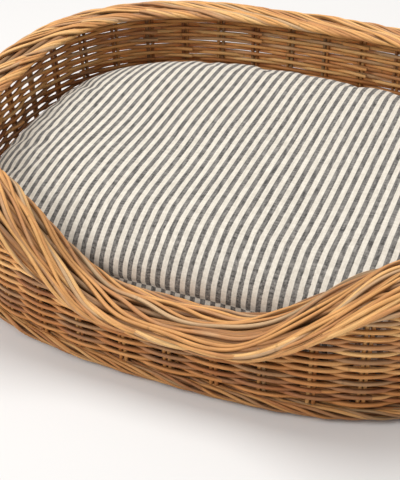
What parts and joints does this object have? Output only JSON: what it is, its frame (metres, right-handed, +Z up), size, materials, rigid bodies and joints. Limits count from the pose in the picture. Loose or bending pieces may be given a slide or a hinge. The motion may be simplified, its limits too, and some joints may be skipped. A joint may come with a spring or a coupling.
{
  "type": "wicker pet bed",
  "caption": "Oval woven rattan pet bed basket with a low front entrance, a plaited rim and foot, and a plump striped cushion that lifts out.",
  "frame": {"origin": "centre of the footprint, on the floor", "axes": "+X along the long side, +Z up, the low entrance towards -Y"},
  "size_m": [0.628, 0.5105, 0.153],
  "materials": {
    "honey_rattan": "natural honey rattan rods, satin, with pale and brown streaks",
    "brown_rattan": "natural rattan rods, a shade browner, satin",
    "striped_cotton": "plain-woven cotton with equal cream and heathered charcoal stripes running front to back",
    "wadding": "white polyester filling in its inner bag",
    "zip_nylon": "cream woven zip tape with nylon teeth",
    "zip_metal": "dull nickel-plated slider"
  },
  "bodies": {
    "basket": {"rim_border": "honey_rattan", "foot_border": "brown_rattan", "base_mat": "honey_rattan", "stake_frame_01": "brown_rattan", "stake_frame_02": "brown_rattan", "stake_frame_03": "brown_rattan", "stake_frame_04": "brown_rattan", "stake_frame_05": "brown_rattan", "stake_frame_06": "brown_rattan", "stake_frame_07": "brown_rattan", "stake_frame_08": "brown_rattan", "stake_frame_09": "brown_rattan", "stake_frame_10": "brown_rattan", "stake_frame_11": "brown_rattan", "stake_frame_12": "brown_rattan", "stake_frame_13": "brown_rattan", "stake_frame_14": "brown_rattan", "stake_frame_15": "brown_rattan", "stake_frame_16": "brown_rattan", "stake_frame_17": "brown_rattan", "stake_frame_18": "brown_rattan", "stake_frame_19": "brown_rattan", "stake_frame_20": "brown_rattan", "stake_frame_21": "brown_rattan", "weave_course_01": "honey_rattan", "weave_course_02": "honey_rattan", "weave_course_03": "honey_rattan", "weave_course_04": "honey_rattan", "weave_course_05": "honey_rattan", "weave_course_06": "honey_rattan", "weave_course_07": "honey_rattan", "weave_course_08": "honey_rattan", "weave_course_09": "honey_rattan", "weave_course_10": "honey_rattan", "weave_course_11": "honey_rattan", "weave_course_12": "honey_rattan", "base_stick_01": "brown_rattan", "base_stick_02": "brown_rattan", "base_stick_03": "brown_rattan", "base_stick_04": "brown_rattan", "base_stick_05": "brown_rattan", "base_stick_06": "brown_rattan", "base_stick_07": "brown_rattan", "base_stick_08": "brown_rattan", "base_stick_09": "brown_rattan"},
    "cushion": {"cover_top": "striped_cotton", "cover_base": "striped_cotton", "cushion_pad": "wadding", "zip_tape": "zip_nylon"},
    "zip_slider": {"zip_slider": "zip_metal"}
  },
  "joints": [
    {"name": "cushion_lift", "type": "slide", "parent": "basket", "child": "cushion", "axis": [0, 0, 1], "range_m": [0, 0.18]},
    {"name": "zip_pull", "type": "slide", "parent": "cushion", "child": "zip_slider", "axis": [1, 0, 0], "range_m": [0, 0.27]}
  ]
}
